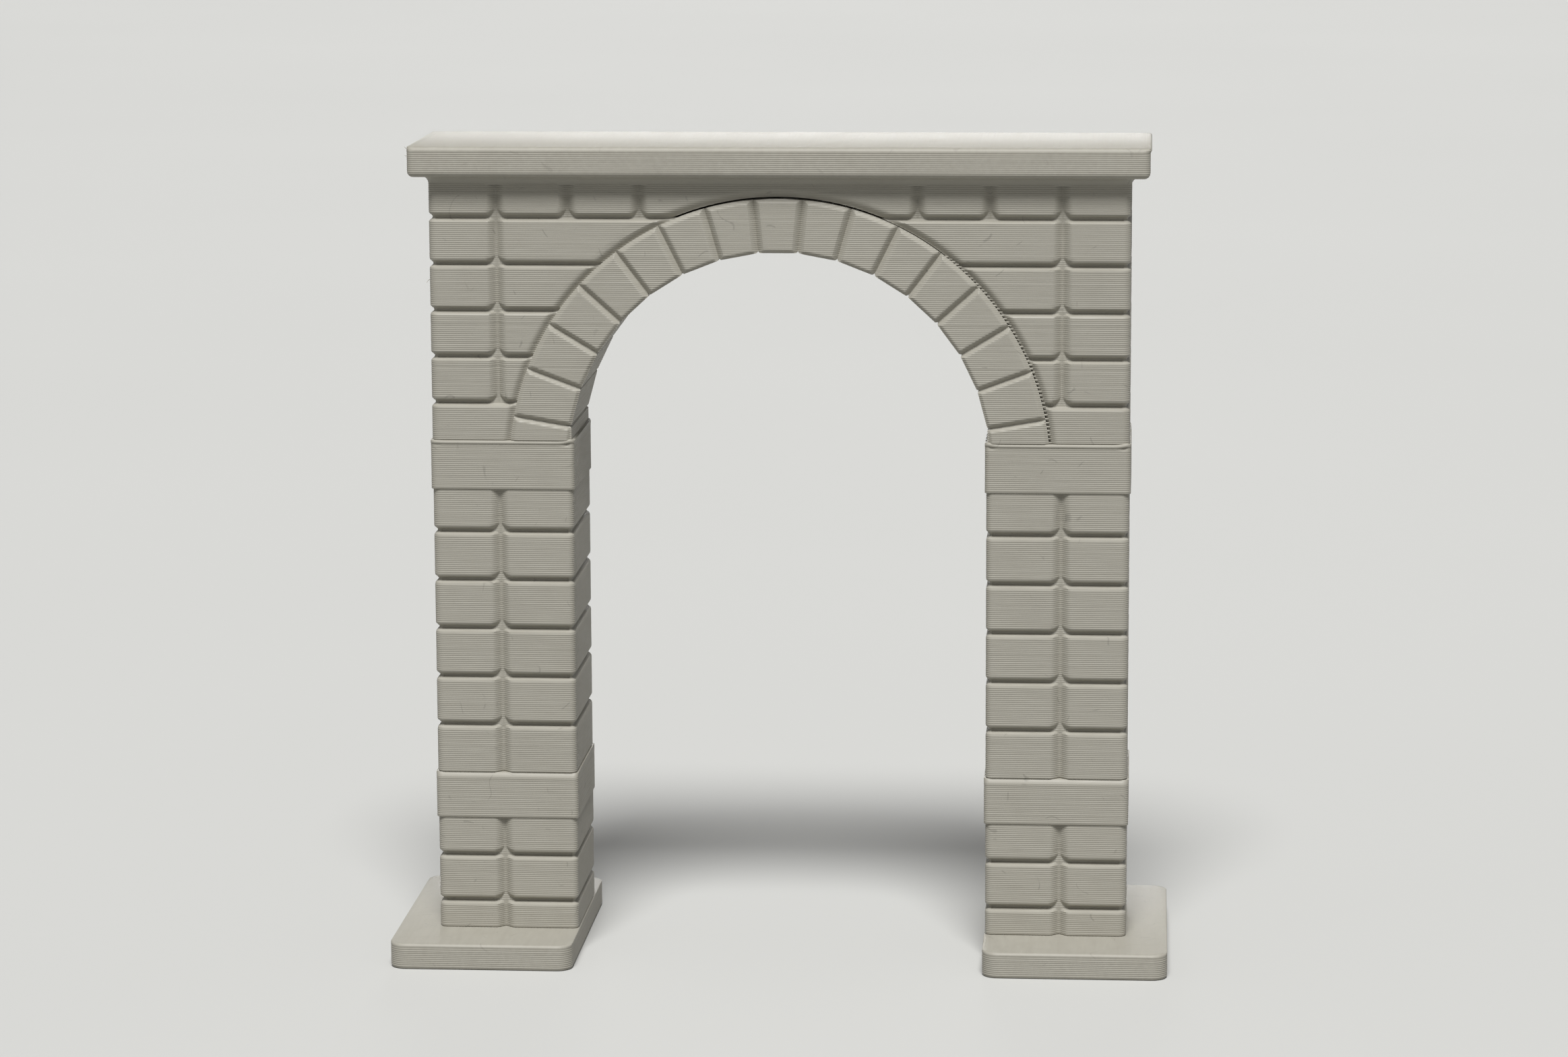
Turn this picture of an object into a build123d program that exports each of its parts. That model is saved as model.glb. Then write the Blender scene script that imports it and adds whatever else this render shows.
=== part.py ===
from build123d import *
import math
import os

# A printed model of a masonry arch: coursed piers on foot plates, a ring of voussoirs, spandrels, coping.
# Millimetres. X runs across the front, Y from front to back, Z up. The origin is at ground level, midway
# between the piers and midway through the wall. The right half is drawn, and the left is its mirror image.

# Plan of the wall
OPENING_WIDTH = 58.4
PIER_WIDTH = 20.0
WALL_DEPTH = 20.6
QUOIN_LENGTH = 9.5
CORNER_RADIUS = 1.1

# Foot plates
PLATE_THICKNESS = 3.7
PLATE_OUTER_MARGIN = 5.9
PLATE_SIDE_MARGIN = 10.0
PLATE_INNER_MARGIN = 0.15
PLATE_CORNER_RADIUS = 2.2
PLATE_RIM_BEVEL = 0.4

# Course heights, from the ground up
FOOT_COURSE = 4.0
LOWER_COURSE = 6.7
UNDER_BAND_COURSE = 5.5
BAND_HEIGHT = 6.6
SHAFT_COURSE = 7.0
SHAFT_COURSES = 5
UNDER_IMPOST_COURSE = 6.0
IMPOST_HEIGHT = 7.0
FIRST_SPANDREL_COURSE = 5.4
SPANDREL_COURSES = 4
TOP_COURSE = 5.8

# Dressing of the stones
BED_BEVEL = 0.6
JOINT_WIDTH = 2.8
JOINT_DEPTH = 0.7
BAND_PROUD = 0.25

# Arch ring
CENTRE_BELOW_SPRINGING = 2.95
SPRINGING_SETBACK = 0.45
RING_DEPTH = 7.5
VOUSSOIR_ANGLE = 10.7
VOUSSOIRS_EACH_SIDE = 7
RING_PROUD = 0.3
RING_ARRIS = 0.6
RING_JOINT = 0.1

# Top course, into which the crown of the ring rises
TOP_BLOCK_LENGTH = 10.1
CROWN_LAP = 2.75

# Coping and the cove under it
COPING_HEIGHT = 4.3
COPING_OVERHANG = 2.6
COPING_CORNER_RADIUS = 0.9
COPING_SOFFIT_RADIUS = 0.8
COPING_RIM_BEVEL = 0.3
COVE_RADIUS = 1.2

# How far a cutting tool runs past what it cuts
OVERRUN = 5.0

HALF_OPENING = OPENING_WIDTH / 2
PIER_CENTRE = HALF_OPENING + PIER_WIDTH / 2
HALF_WALL = HALF_OPENING + PIER_WIDTH
QUOIN_JOINT = HALF_WALL - QUOIN_LENGTH
HALF_CROWN_STONE = QUOIN_JOINT - TOP_BLOCK_LENGTH * 2
FRONT = -WALL_DEPTH / 2

BAND_BOTTOM = PLATE_THICKNESS + FOOT_COURSE + LOWER_COURSE + UNDER_BAND_COURSE
SHAFT_BOTTOM = BAND_BOTTOM + BAND_HEIGHT
IMPOST_BOTTOM = SHAFT_BOTTOM + SHAFT_COURSES * SHAFT_COURSE + UNDER_IMPOST_COURSE
SPRINGING = IMPOST_BOTTOM + IMPOST_HEIGHT

ARCH_CENTRE = SPRINGING - CENTRE_BELOW_SPRINGING
INTRADOS_RADIUS = math.hypot(HALF_OPENING + SPRINGING_SETBACK, CENTRE_BELOW_SPRINGING)
EXTRADOS_RADIUS = INTRADOS_RADIUS + RING_DEPTH
SPANDREL_RADIUS = EXTRADOS_RADIUS + RING_JOINT

TOP_COURSE_BOTTOM = ARCH_CENTRE + EXTRADOS_RADIUS - CROWN_LAP
COPING_BOTTOM = TOP_COURSE_BOTTOM + TOP_COURSE
SPANDREL_COURSE = (TOP_COURSE_BOTTOM - SPRINGING - FIRST_SPANDREL_COURSE) / SPANDREL_COURSES

STANDING = (Align.CENTER, Align.CENTER, Align.MIN)


def base_plate():
    """Foot plate of the right pier, nearly flush with the opening and wider on the other three sides."""
    inner = HALF_OPENING - PLATE_INNER_MARGIN
    outer = HALF_WALL + PLATE_OUTER_MARGIN
    depth = WALL_DEPTH + PLATE_SIDE_MARGIN * 2
    plate = Box(outer - inner, depth, PLATE_THICKNESS, align=STANDING)
    plate = fillet(plate.edges().filter_by(Axis.Z), PLATE_CORNER_RADIUS)
    plate = chamfer(plate.faces().sort_by(Axis.Z)[-1].edges(), PLATE_RIM_BEVEL)
    return Pos((inner + outer) / 2, 0, 0) * plate


def course(length, height, bevel_top=True, bevel_bottom=True):
    """One course of a pier: rounded upright corners, and a bevel along each bed that shows as a V joint."""
    block = Box(length, WALL_DEPTH, height, align=STANDING)
    block = fillet(block.edges().filter_by(Axis.Z), CORNER_RADIUS)
    beds = block.faces().filter_by(Axis.Z).sort_by(Axis.Z)
    bevelled = ([beds[0]] if bevel_bottom else []) + ([beds[-1]] if bevel_top else [])
    edges = [edge for bed in bevelled for edge in bed.edges()]
    return chamfer(edges, BED_BEVEL) if edges else block


def upright_joint(x, bottom, height):
    """The two V grooves, front and back, that part the stones of a course at x."""
    groove = Polygon(
        (-JOINT_WIDTH / 2, 0),
        (0, JOINT_DEPTH),
        (JOINT_WIDTH / 2, 0),
        (JOINT_WIDTH / 2, -OVERRUN),
        (-JOINT_WIDTH / 2, -OVERRUN),
        align=None,
    )
    front = Pos(x, FRONT, bottom) * extrude(groove, height)
    return front + mirror(front, about=Plane.XZ)


def pier_section(bottom, heights):
    """Courses of the right pier, one on another, plain where they meet the plate, the band or the impost."""
    section = None
    level = bottom
    last = len(heights) - 1
    for i, height in enumerate(heights):
        stone = course(PIER_WIDTH, height, bevel_top=i < last, bevel_bottom=i > 0)
        placed = Pos(PIER_CENTRE, 0, level) * stone
        section = placed if section is None else section + placed
        level += height
    return section - upright_joint(QUOIN_JOINT, bottom, level - bottom)


def proud_stone(bottom, height):
    """A sharp-edged stone that stands a little proud of the pier all round: the band or the impost."""
    stone = Box(PIER_WIDTH + BAND_PROUD * 2, WALL_DEPTH + BAND_PROUD * 2, height, align=STANDING)
    return Pos(PIER_CENTRE, 0, bottom) * fillet(stone.edges().filter_by(Axis.Z), CORNER_RADIUS)


def ring_point(radius, angle):
    """Point of the ring at an angle from the crown towards the right, as X and Z."""
    turn = math.radians(angle)
    return radius * math.sin(turn), ARCH_CENTRE + radius * math.cos(turn)


def springing_point(radius):
    """Point of a circle of the ring where it meets the impost, as X and Z."""
    return math.sqrt(radius**2 - CENTRE_BELOW_SPRINGING**2), SPRINGING


def ring_stone(soffit_start, soffit_end, back_start, back_middle, back_end):
    """A stone of the ring: flat soffit, two bed joints, curved back, and bevelled front and back arrises."""
    with BuildPart() as stone:
        with BuildSketch(Plane.XZ):
            with BuildLine():
                Polyline(back_end, soffit_end, soffit_start, back_start)
                ThreePointArc(back_start, back_middle, back_end)
            make_face()
        extrude(amount=WALL_DEPTH / 2 + RING_PROUD, both=True)
        chamfer(stone.faces().filter_by(Axis.Y).edges(), RING_ARRIS)
    return stone.part


def voussoir(first, last):
    """A voussoir between two angles from the crown."""
    return ring_stone(
        ring_point(INTRADOS_RADIUS, first),
        ring_point(INTRADOS_RADIUS, last),
        ring_point(EXTRADOS_RADIUS, first),
        ring_point(EXTRADOS_RADIUS, (first + last) / 2),
        ring_point(EXTRADOS_RADIUS, last),
    )


def springer(first):
    """The lowest stone of the ring on the right, from an angle down to its flat bed on the impost."""
    foot = springing_point(EXTRADOS_RADIUS)
    foot_angle = math.degrees(math.atan2(foot[0], foot[1] - ARCH_CENTRE))
    return ring_stone(
        ring_point(INTRADOS_RADIUS, first),
        springing_point(INTRADOS_RADIUS),
        ring_point(EXTRADOS_RADIUS, first),
        ring_point(EXTRADOS_RADIUS, (first + foot_angle) / 2),
        foot,
    )


def ring_cutter():
    """The round space that the arch ring takes out of the spandrels."""
    cutter = Cylinder(SPANDREL_RADIUS, WALL_DEPTH + OVERRUN, rotation=(90, 0, 0))
    return Pos(0, 0, ARCH_CENTRE) * cutter


def wall_course(inner, outer, bottom, height, joints=(), bevel_top=True, bevel_bottom=True):
    """A course of the wall from inner to outer, cut back by the ring and grooved at its upright joints."""
    stone = Pos((inner + outer) / 2, 0, bottom) * course(outer - inner, height, bevel_top, bevel_bottom)
    for x in joints:
        stone -= upright_joint(x, bottom, height)
    return stone - ring_cutter()


def spandrel_course(bottom, height, joints, bevel_bottom=True):
    """A course of the right spandrel, between the ring and the end of the wall."""
    blank = wall_course(CORNER_RADIUS, HALF_WALL, bottom, height, joints, bevel_bottom=bevel_bottom)
    return blank.solids().sort_by(Axis.X)[-1]


def top_course_end():
    """The three right-hand stones of the course under the coping."""
    joints = (QUOIN_JOINT, QUOIN_JOINT - TOP_BLOCK_LENGTH)
    return wall_course(HALF_CROWN_STONE, HALF_WALL, TOP_COURSE_BOTTOM, TOP_COURSE, joints, bevel_top=False)


def crown_stone():
    """The long stone over the crown, hollowed underneath to ride over the ring."""
    half = HALF_CROWN_STONE
    return wall_course(-half, half, TOP_COURSE_BOTTOM, TOP_COURSE, bevel_top=False)


def cove_moulding():
    """The hollow moulding that runs round the top of the wall, under the coping."""
    wall = Rectangle(HALF_WALL * 2, WALL_DEPTH)
    ring = fillet(wall.vertices(), CORNER_RADIUS).wire()
    path = Pos(0, 0, COPING_BOTTOM) * ring
    start = path @ 0
    outward = (path % 0).cross(Vector(0, 0, 1))
    with BuildSketch(Plane(start, x_dir=outward, z_dir=-(path % 0))) as profile:
        with BuildLine():
            Polyline((0, -COVE_RADIUS), (0, 0), (COVE_RADIUS, 0))
            RadiusArc((COVE_RADIUS, 0), (0, -COVE_RADIUS), COVE_RADIUS)
        make_face()
    return sweep(profile.sketch, path)


def coping():
    """The slab that caps the wall, rounded under its front edge."""
    length = (HALF_WALL + COPING_OVERHANG) * 2
    slab = Box(length, WALL_DEPTH + COPING_OVERHANG * 2, COPING_HEIGHT, align=STANDING)
    slab = fillet(slab.edges().filter_by(Axis.Z), COPING_CORNER_RADIUS)
    slab = fillet(slab.faces().sort_by(Axis.Z)[0].edges(), COPING_SOFFIT_RADIUS)
    slab = chamfer(slab.faces().sort_by(Axis.Z)[-1].edges(), COPING_RIM_BEVEL)
    return Pos(0, 0, COPING_BOTTOM) * slab


def right_half():
    """Every piece that has a twin on the left, by its name without the side."""
    foot_heights = [FOOT_COURSE, LOWER_COURSE, UNDER_BAND_COURSE]
    shaft_heights = [SHAFT_COURSE] * SHAFT_COURSES + [UNDER_IMPOST_COURSE]
    pieces = {
        "base_plate": base_plate(),
        "pier_foot": pier_section(PLATE_THICKNESS, foot_heights),
        "band": proud_stone(BAND_BOTTOM, BAND_HEIGHT),
        "pier_shaft": pier_section(SHAFT_BOTTOM, shaft_heights),
        "impost": proud_stone(IMPOST_BOTTOM, IMPOST_HEIGHT),
        "top_course": top_course_end(),
    }
    for number in range(1, VOUSSOIRS_EACH_SIDE + 1):
        first = (number - 0.5) * VOUSSOIR_ANGLE
        pieces[f"voussoir_{number}"] = voussoir(first, first + VOUSSOIR_ANGLE)
    pieces["springer"] = springer((VOUSSOIRS_EACH_SIDE + 0.5) * VOUSSOIR_ANGLE)
    pieces["spandrel_course_1"] = spandrel_course(SPRINGING, FIRST_SPANDREL_COURSE, (), bevel_bottom=False)
    level = SPRINGING + FIRST_SPANDREL_COURSE
    for number in range(2, SPANDREL_COURSES + 2):
        pieces[f"spandrel_course_{number}"] = spandrel_course(level, SPANDREL_COURSE, (QUOIN_JOINT,))
        level += SPANDREL_COURSE
    return pieces


def main():
    """Writes one STEP file for each piece."""
    pieces = {
        "keystone": voussoir(-VOUSSOIR_ANGLE / 2, VOUSSOIR_ANGLE / 2),
        "crown_stone": crown_stone(),
        "cove_moulding": cove_moulding(),
        "coping": coping(),
    }
    for name, piece in right_half().items():
        pieces[f"right_{name}"] = piece
        pieces[f"left_{name}"] = mirror(piece, about=Plane.YZ)
    os.makedirs("parts", exist_ok=True)
    for name, piece in pieces.items():
        export_step(piece, f"parts/{name}.step")


if __name__ == "__main__":
    main()
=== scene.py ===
"""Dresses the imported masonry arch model: rounded stones, print lines, curled lips, strands and hairs.

The object is a small print in grey-beige plastic. Its walls are made as the nozzle lays them, line on line,
so each piece is a skin lofted through level rings, and the joints between the stones are hollows in those
rings. Sizes are in millimetres and turn to metres when a mesh is made.
"""

import logging
import math
from dataclasses import astuple, dataclass, field
from enum import Enum
from typing import Callable, Sequence

import bmesh
import bpy
import numpy as np
from mathutils import Matrix, Vector

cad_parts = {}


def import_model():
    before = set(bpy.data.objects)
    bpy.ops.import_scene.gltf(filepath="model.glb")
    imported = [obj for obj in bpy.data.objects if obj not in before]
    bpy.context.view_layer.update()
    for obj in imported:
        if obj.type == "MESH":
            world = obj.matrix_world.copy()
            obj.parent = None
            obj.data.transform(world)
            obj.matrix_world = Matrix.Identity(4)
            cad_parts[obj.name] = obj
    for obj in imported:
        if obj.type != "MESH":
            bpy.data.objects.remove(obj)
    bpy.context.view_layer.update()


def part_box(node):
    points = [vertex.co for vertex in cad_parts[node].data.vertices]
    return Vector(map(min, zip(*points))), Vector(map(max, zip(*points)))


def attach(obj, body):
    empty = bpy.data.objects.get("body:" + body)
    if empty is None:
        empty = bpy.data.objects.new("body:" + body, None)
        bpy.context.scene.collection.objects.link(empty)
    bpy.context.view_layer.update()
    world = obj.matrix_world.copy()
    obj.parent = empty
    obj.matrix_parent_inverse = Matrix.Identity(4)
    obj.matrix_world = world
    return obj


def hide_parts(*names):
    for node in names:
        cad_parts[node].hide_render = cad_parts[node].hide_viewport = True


LOG = logging.getLogger("arch")
MM = 0.001
# A distance at which no joint is felt.
FAR = 1.0e3
# Degrees from the crown of the arch to the level of its centre.
LEVEL = 90.0

Socket = bpy.types.NodeSocket
Pair = tuple[float, float]
Triple = tuple[float, float, float]


class Side(Enum):
    """The two ends of the wall, by the sign of X."""

    LEFT = -1
    RIGHT = 1

    @property
    def word(self) -> str:
        """The side's word in the names of the pieces."""
        return self.name.lower()


class Cap(Enum):
    """How a skin is closed at its top and bottom."""

    FLAT = "flat"
    STRIPS = "strips"


@dataclass(frozen=True)
class ArchPlan:
    """Shared sizes of the arch: those of the solids, with the ring's back splayed as it shows."""

    half_opening: float = 29.2
    pier_width: float = 20.0
    wall_depth: float = 20.6
    quoin_length: float = 9.5
    outer_radius: float = 1.1
    inner_radius: float = 0.9
    springing: float = 74.5
    centre_below_springing: float = 2.95
    springing_setback: float = 0.45
    ring_depth: float = 7.5
    ring_splay: float = 0.84
    ring_proud: float = 0.3
    open_joint: float = 0.1
    crown_joint: float = 0.24
    voussoir_angle: float = 10.7
    voussoirs_each_side: int = 7
    first_spandrel_course: float = 5.4
    spandrel_courses: int = 4
    crown_lap: float = 2.75
    top_course: float = 5.8
    top_block: float = 10.1

    @property
    def half_wall(self) -> float:
        """Half the wall's length."""
        return self.half_opening + self.pier_width

    @property
    def quoin_joint(self) -> float:
        """X of the upright joint of the piers and quoins."""
        return self.half_wall - self.quoin_length

    @property
    def half_crown(self) -> float:
        """Half the length of the stone over the crown."""
        return self.quoin_joint - 2 * self.top_block

    @property
    def centre(self) -> float:
        """Height of the ring's centre."""
        return self.springing - self.centre_below_springing

    @property
    def intrados(self) -> float:
        """Radius of the ring's inner circle."""
        return math.hypot(self.half_opening + self.springing_setback, self.centre_below_springing)

    @property
    def back_centre(self) -> float:
        """Height of the centre of the ring's back, a little lower, so that the ring is deeper at its feet."""
        return self.centre - self.ring_splay

    @property
    def extrados(self) -> float:
        """Radius of the ring's outer circle."""
        return self.intrados + self.ring_depth + self.ring_splay

    @property
    def top_course_low(self) -> float:
        """Height of the bed under the top course."""
        return self.back_centre + self.extrados - self.crown_lap

    @property
    def coping_low(self) -> float:
        """Height of the bed under the coping."""
        return self.top_course_low + self.top_course

    def back_reach(self, angle: float) -> float:
        """Distance from the ring's centre to its back, at an angle in radians from the crown."""
        across = self.ring_splay * math.sin(angle)
        return math.sqrt(self.extrados**2 - across**2) - self.ring_splay * math.cos(angle)

    def spandrel_beds(self) -> list[float]:
        """Heights of the beds from the springing to the top course.

        Returns:
            The level of each bed, lowest first.
        """
        first = self.springing + self.first_spandrel_course
        step = (self.top_course_low - first) / self.spandrel_courses
        return [self.springing] + [first + step * i for i in range(self.spandrel_courses + 1)]


@dataclass(frozen=True)
class PrintLines:
    """The level lines that the nozzle leaves on every upright face, one to each layer of 0.28 mm."""

    pitch: float = 0.28
    depth: float = 0.04
    proud: float = 0.04
    wander: float = 0.004
    # Share of half a line by which its levels keep off those that have to be met.
    keep_off: float = 0.35
    seed: int = 11
    offsets: np.ndarray = field(init=False, repr=False, compare=False)

    def __post_init__(self) -> None:
        """Draws the small offset of each line."""
        rng = np.random.default_rng(self.seed)
        object.__setattr__(self, "offsets", rng.normal(0.0, self.wander, 512))

    def levels(self, low: float, high: float, extra: Sequence[float] = ()) -> np.ndarray:
        """Levels of the rings of a skin.

        Args:
            low: Lowest level.
            high: Highest level.
            extra: Further levels that have to be met, such as beds.

        Returns:
            Every crest and valley of the lines between low and high, with the ends and the extra levels.
        """
        half = self.pitch / 2
        fixed = np.array([low, high, *extra])
        grid = np.arange(math.ceil(low / half), math.floor(high / half) + 1) * half
        near = np.abs(grid[:, None] - fixed[None, :]).min(axis=1)
        grid = grid[(near > half * self.keep_off) & (grid > low) & (grid < high)]
        return np.unique(np.concatenate([fixed, grid]))

    def inset(self, z: np.ndarray | float) -> np.ndarray:
        """How far the lines lie behind the face of the solid.

        Args:
            z: Heights.

        Returns:
            Depth behind the face at each height, below zero on a crest, with the line's own small offset.
        """
        turn = np.asarray(z) / self.pitch
        wave = np.abs(1.0 - 2.0 * (turn % 1.0)) * self.depth - self.proud
        return wave + self.offsets[np.floor(turn).astype(int) % len(self.offsets)]


@dataclass(frozen=True)
class Joint:
    """The hollow along a joint: a flat floor and soft shoulders up to the stones' faces.

    The fullness says how long the stone's face stays full before it falls away, and the ease how softly it
    meets the floor.
    """

    shoulder: float
    depth: float
    floor: float
    fullness: float = 2.4
    ease: float = 2.0

    def near(self, distance: np.ndarray) -> np.ndarray:
        """How far into the joint points are: 1 on the floor, evenly down to 0 at the top of the shoulder."""
        return np.clip(1.0 - (np.abs(distance) - self.floor) / self.shoulder, 0.0, 1.0)

    def sink(self, near: np.ndarray) -> np.ndarray:
        """Depth below the face, from how far into the joint the points are."""
        return self.depth * near**self.fullness * (1.0 + self.ease * (1.0 - near))

    def towards(self, other: "Joint", share: float) -> "Joint":
        """A joint between this one, at a share of 0, and the other, at 1."""
        return Joint(*(a + share * (b - a) for a, b in zip(astuple(self), astuple(other))))


UPRIGHT = Joint(shoulder=1.25, depth=1.0, floor=0.1, fullness=1.9, ease=0.6)
BED = Joint(shoulder=0.62, depth=0.85, floor=0.1)
RADIAL_AT_FOOT = Joint(shoulder=0.65, depth=0.55, floor=0.04)
RADIAL_AT_CROWN = Joint(shoulder=0.95, depth=0.8, floor=0.0, fullness=1.7, ease=0.35)
BEHIND_RING = Joint(shoulder=1.15, depth=0.62, floor=0.05)
RING_EDGE = Joint(shoulder=0.7, depth=0.38, floor=0.0)
SOFFIT_EDGE = Joint(shoulder=0.6, depth=0.35, floor=0.0)

# Distances from the middle of a bed, and of any other joint, at which a face gets points.
BESIDE_BED = np.array([0.1, 0.22, 0.38, 0.56])
NEAR_JOINT = np.array([0.0, 0.2, 0.36, 0.5, 0.66, 0.84, 1.04, 1.26, 1.5, 1.9])
# Largest share of a stretch that the points near each of its joints take up.
NEAR_SHARE = 0.45
# Depth and height of a stone's lowest line, which draws in over the flat stone below.
UNDERCUT = 0.16
# Radii of the arcs at a stone's corners, of which the lower ones are rounder.
LOWER_CORNER = 1.35
UPPER_CORNER = 0.8
# How sharp the hollows of a course meet.
COURSE_SHARP = 3.0
# Shares by which joints are shallower on the ends of the wall, and right under a stone that stands out.
SHALLOW_END = 0.4
SHALLOW_TOP = 0.4
# Heights over which joints grow shallow towards such a stone: in the piers, and under the coping.
PIER_FADE = 4.0
COPING_FADE = 5.0


def undercut(above: float) -> float:
    """How far a stone's lowest line draws in, at a height above the flat stone that it stands on."""
    return UNDERCUT * max(0.0, 1.0 - above / UNDERCUT)


def recess(*hollows: tuple[np.ndarray, Joint], sharp: float = 2.0) -> np.ndarray:
    """Depth of a stone's face where joints meet, which also rounds the stone's corners.

    Args:
        hollows: Pairs of the distance from a joint and the joint.
        sharp: How sharp the corners are: 2 rounds them fully.

    Returns:
        Depth below the face at each point.
    """
    nears = [joint.near(np.asarray(distance)) for distance, joint in hollows]
    shallow = min((joint for _, joint in hollows), key=lambda joint: joint.depth)
    depth = shallow.sink(np.minimum(sum(near**sharp for near in nears) ** (1.0 / sharp), 1.0))
    for near, (_, joint) in zip(nears, hollows):
        depth = np.maximum(depth, joint.sink(near))
    return depth


def rounded_corner(upright: np.ndarray, bed: np.ndarray, radius: float) -> np.ndarray:
    """Depth of a stone's face at a corner, where its edge runs round in an arc.

    Args:
        upright: Distance from the upright joint.
        bed: Distance from the bed.
        radius: Radius of the arc.

    Returns:
        Depth below the face at each point.
    """
    ends = ((upright, UPRIGHT), (bed, BED))
    ways = [np.clip(radius - (np.abs(away) - joint.floor), 0.0, None) for away, joint in ends]
    inside = np.maximum(radius - np.hypot(*ways), 0.0)
    total = np.maximum(sum(ways), 1e-9)
    depths = (joint.sink(joint.near(inside + joint.floor)) for _, joint in ends)
    return sum(way / total * depth for way, depth in zip(ways, depths))


def spread(stops: Sequence[float], count: int) -> np.ndarray:
    """Points along a face, close together near its joints.

    Args:
        stops: Ends and joints of the face, in order.
        count: Even steps in the middle of each stretch.

    Returns:
        The points, both ends among them.
    """
    runs = []
    for a, b in zip(stops[:-1], stops[1:]):
        near = NEAR_JOINT * min(1.0, NEAR_SHARE * (b - a) / NEAR_JOINT[-1])
        middle = np.linspace(a + near[-1], b - near[-1], count + 1)[1:-1]
        runs.append(np.concatenate([a + near, middle, b - near[:0:-1]]))
    return np.concatenate([*runs, [stops[-1]]])


def both_halves(front: np.ndarray) -> np.ndarray:
    """A whole ring from the points of its front half, with a back that mirrors it."""
    return np.concatenate([front, front[::-1] * np.array([1.0, -1.0, 1.0])])


@dataclass
class HalfPath:
    """The front half of a level ring, from the middle of the left side round to the middle of the right."""

    x: np.ndarray
    y: np.ndarray
    nx: np.ndarray
    ny: np.ndarray
    front: np.ndarray

    @classmethod
    def around(
        cls,
        stops: Sequence[float],
        face: float,
        radii: Pair,
        count: int = 1,
        sides: Sequence[float] = (0.15, 0.55),
        points: np.ndarray | None = None,
    ) -> "HalfPath":
        """Lays the half ring of a block with rounded corners.

        Args:
            stops: X of the left end, the upright joints and the right end.
            face: Y of the front face, below zero.
            radii: Radius of the left and right corner, or 0 for an end that is a joint and stays square.
            count: Even steps in each stretch of the front.
            sides: Shares of the half depth that get a point on the sides.
            points: X of the front's points, if they aren't spread between the stops.

        Returns:
            The half ring.
        """
        left, right = stops[0], stops[-1]
        rl, rr = radii
        x = spread([left + rl, *stops[1:-1], right - rr], count) if points is None else points
        turn = np.linspace(0.0, np.pi / 2, 7)
        corner_l = np.pi + turn[:-1] if rl else turn[:0]
        corner_r = 1.5 * np.pi + turn[1:] if rr else turn[:0]
        runs = (
            (left, (face + rl) * np.array(sides if rl else ()), np.pi),
            (left + rl + rl * np.cos(corner_l), face + rl + rl * np.sin(corner_l), corner_l),
            (x, face, 1.5 * np.pi),
            (right - rr + rr * np.cos(corner_r), face + rr + rr * np.sin(corner_r), corner_r),
            (right, (face + rr) * np.array(sides if rr else ())[::-1], 2 * np.pi),
        )
        runs = [np.broadcast_arrays(*run) for run in runs]
        px, py, angle = (np.concatenate(rows) for rows in zip(*runs))
        front = np.repeat(np.arange(len(runs)) == 2, [len(run[0]) for run in runs])
        return cls(px, py, np.cos(angle), np.sin(angle), front)

    def ring(self, inward: np.ndarray, z: np.ndarray | float) -> np.ndarray:
        """The whole ring at a height, counterclockwise from above, with its points drawn inward."""
        x, y = self.x - self.nx * inward, self.y - self.ny * inward
        return both_halves(np.stack([x, y, self.x * 0.0 + z], axis=1))


def new_object(name: str, data: bpy.types.ID) -> bpy.types.Object:
    """Makes an object and links it to the scene.

    Args:
        name: Its name.
        data: Its mesh, curve, light or camera.

    Returns:
        The object.
    """
    made = bpy.data.objects.new(name, data)
    bpy.context.scene.collection.objects.link(made)
    return made


@dataclass
class Skin:
    """A closed skin of quads between rings, made into a mesh object."""

    points: list[np.ndarray] = field(default_factory=list)
    faces: list[list[int]] = field(default_factory=list)
    weld_m: float = 1e-7
    sharp_deg: float = 20.0

    def loft(self, rings: Sequence[np.ndarray], cap: Cap | None = Cap.FLAT, endless: bool = False) -> "Skin":
        """Adds a skin through rings of equal length.

        Args:
            rings: Rings from bottom to top.
            cap: How its ends are closed, or None for an open or endless skin.
            endless: Whether the last ring joins the first.

        Returns:
            The skin itself.
        """
        base = sum(len(p) for p in self.points)
        count, length = len(rings), len(rings[0])
        self.points.extend(rings)
        for i in range(count if endless else count - 1):
            low, high = base + i * length, base + (i + 1) % count * length
            for j in range(length):
                k = (j + 1) % length
                self.faces.append([low + j, low + k, high + k, high + j])
        top = base + (count - 1) * length
        if cap is Cap.FLAT:
            self.faces.append([base + j for j in reversed(range(length))])
            self.faces.append([top + j for j in range(length)])
        elif cap is Cap.STRIPS:
            for j in range(length // 2 - 1):
                a, b = length - 1 - j, length - 2 - j
                self.faces.append([base + a, base + b, base + j + 1, base + j])
                self.faces.append([top + j, top + j + 1, top + b, top + a])
        return self

    def build(self, name: str, merge: bool = False) -> bpy.types.Object:
        """Makes the mesh object, in metres.

        Args:
            name: Name of the piece.
            merge: Whether points that fall together are merged.

        Returns:
            The object, linked to the scene.
        """
        mesh = bpy.data.meshes.new(name)
        mesh.from_pydata((np.concatenate(self.points) * MM).tolist(), [], self.faces)
        if merge:
            work = bmesh.new()
            work.from_mesh(mesh)
            bmesh.ops.remove_doubles(work, verts=work.verts, dist=self.weld_m)
            bmesh.ops.dissolve_degenerate(work, edges=work.edges, dist=self.weld_m)
            bmesh.ops.recalc_face_normals(work, faces=work.faces)
            work.to_mesh(mesh)
            work.free()
        mesh.validate()
        mesh.shade_smooth()
        mesh.set_sharp_from_angle(angle=math.radians(self.sharp_deg))
        return new_object(name, mesh)


def linear(colour: str) -> tuple[float, ...]:
    """Linear red, green, blue and alpha of an sRGB colour in six hex digits."""
    parts = [int(colour[i : i + 2], 16) / 255 for i in (0, 2, 4)]
    return (*(p / 12.92 if p <= 0.04045 else ((p + 0.055) / 1.055) ** 2.4 for p in parts), 1.0)


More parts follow.
